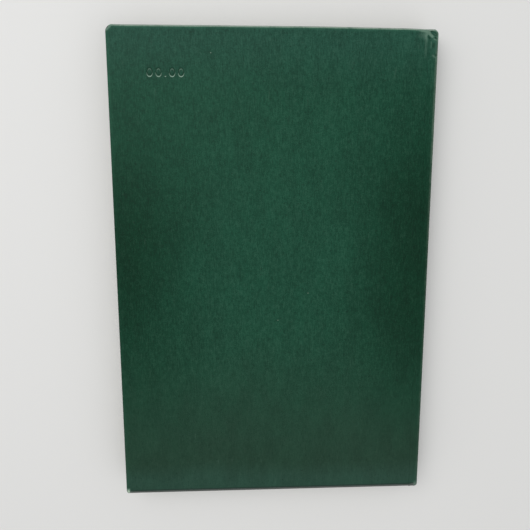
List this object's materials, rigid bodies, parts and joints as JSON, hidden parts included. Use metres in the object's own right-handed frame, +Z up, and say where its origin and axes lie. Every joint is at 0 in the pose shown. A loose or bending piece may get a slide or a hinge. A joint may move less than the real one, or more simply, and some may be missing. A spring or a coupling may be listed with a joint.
{
  "type": "pilot logbook",
  "caption": "Cloth-covered hardback log book with sewn sections that opens from closed to lying flat at its middle.",
  "frame": {"origin": "centre of the footprint on the front cover's outer face, which the book lies on", "axes": "+X from the fore-edge to the spine, +Y from the tail to the head, +Z up through the back cover"},
  "size_m": [0.15, 0.226, 0.0157],
  "materials": {
    "cover_cloth": "green coated book cloth with a fine leather grain, dull",
    "board": "grey-brown millboard",
    "endpaper": "off-white endpaper, matte",
    "leaf": "off-white ruled writing paper, matte",
    "mull": "open starched gauze",
    "lining": "brown lining paper",
    "thread": "waxed linen thread",
    "band": "woven cotton band"
  },
  "bodies": {
    "front_half": {"front_board": "board", "front_cover_cloth": "cover_cloth", "front_joint_cloth": "cover_cloth", "front_pastedown": "endpaper", "front_mull_flange": "mull", "front_flyleaf": "endpaper", "front_stitching": "thread", "mull": "mull", "spine_lining": "lining", "headband": "band", "tailband": "band", "section_01": "leaf", "section_02": "leaf", "section_03": "leaf", "section_04": "leaf", "section_05": "leaf", "section_06": "leaf"},
    "spine": {"spine_strip": "board", "spine_cloth": "cover_cloth"},
    "back_cover": {"back_board": "board", "back_cover_cloth": "cover_cloth", "back_joint_cloth": "cover_cloth", "back_pastedown": "endpaper", "back_mull_flange": "mull"},
    "back_half": {"section_07": "leaf", "section_08": "leaf", "section_09": "leaf", "section_10": "leaf", "section_11": "leaf", "section_12": "leaf", "back_flyleaf": "endpaper", "back_stitching": "thread"},
    "leaf_1": {"turning_leaf_1": "leaf"},
    "leaf_2": {"turning_leaf_2": "leaf"}
  },
  "joints": [
    {"name": "back_cover_open", "type": "hinge", "parent": "spine", "child": "back_cover", "pos_m": [0.07435, 0, 0.0145], "axis": [0, 1, 0], "range_deg": [0, 90], "deforming": ["back_joint_cloth"]},
    {"name": "spine_fold", "type": "hinge", "parent": "front_half", "child": "spine", "pos_m": [0.07435, 0, 0.0012], "axis": [0, 1, 0], "range_deg": [0, 90], "deforming": ["front_joint_cloth"]},
    {"name": "back_half_turn", "type": "hinge", "parent": "front_half", "child": "back_half", "pos_m": [0.0734, 0, 0.00785], "axis": [0, 1, 0], "range_deg": [0, 180], "deforming": ["mull", "spine_lining", "headband", "tailband"]},
    {"name": "leaf_1_turn", "type": "hinge", "parent": "front_half", "child": "leaf_1", "pos_m": [0.0734, 0, 0.00785], "axis": [0, 1, 0], "range_deg": [0, 54]},
    {"name": "leaf_2_turn", "type": "hinge", "parent": "front_half", "child": "leaf_2", "pos_m": [0.0734, 0, 0.00785], "axis": [0, 1, 0], "range_deg": [0, 117]}
  ],
  "couplings": [
    {"joint": "spine_fold", "follows": "back_cover_open", "ratio": 1},
    {"joint": "back_half_turn", "follows": "back_cover_open", "ratio": 2},
    {"joint": "leaf_1_turn", "follows": "back_cover_open", "ratio": 0.6},
    {"joint": "leaf_2_turn", "follows": "back_cover_open", "ratio": 1.3}
  ]
}
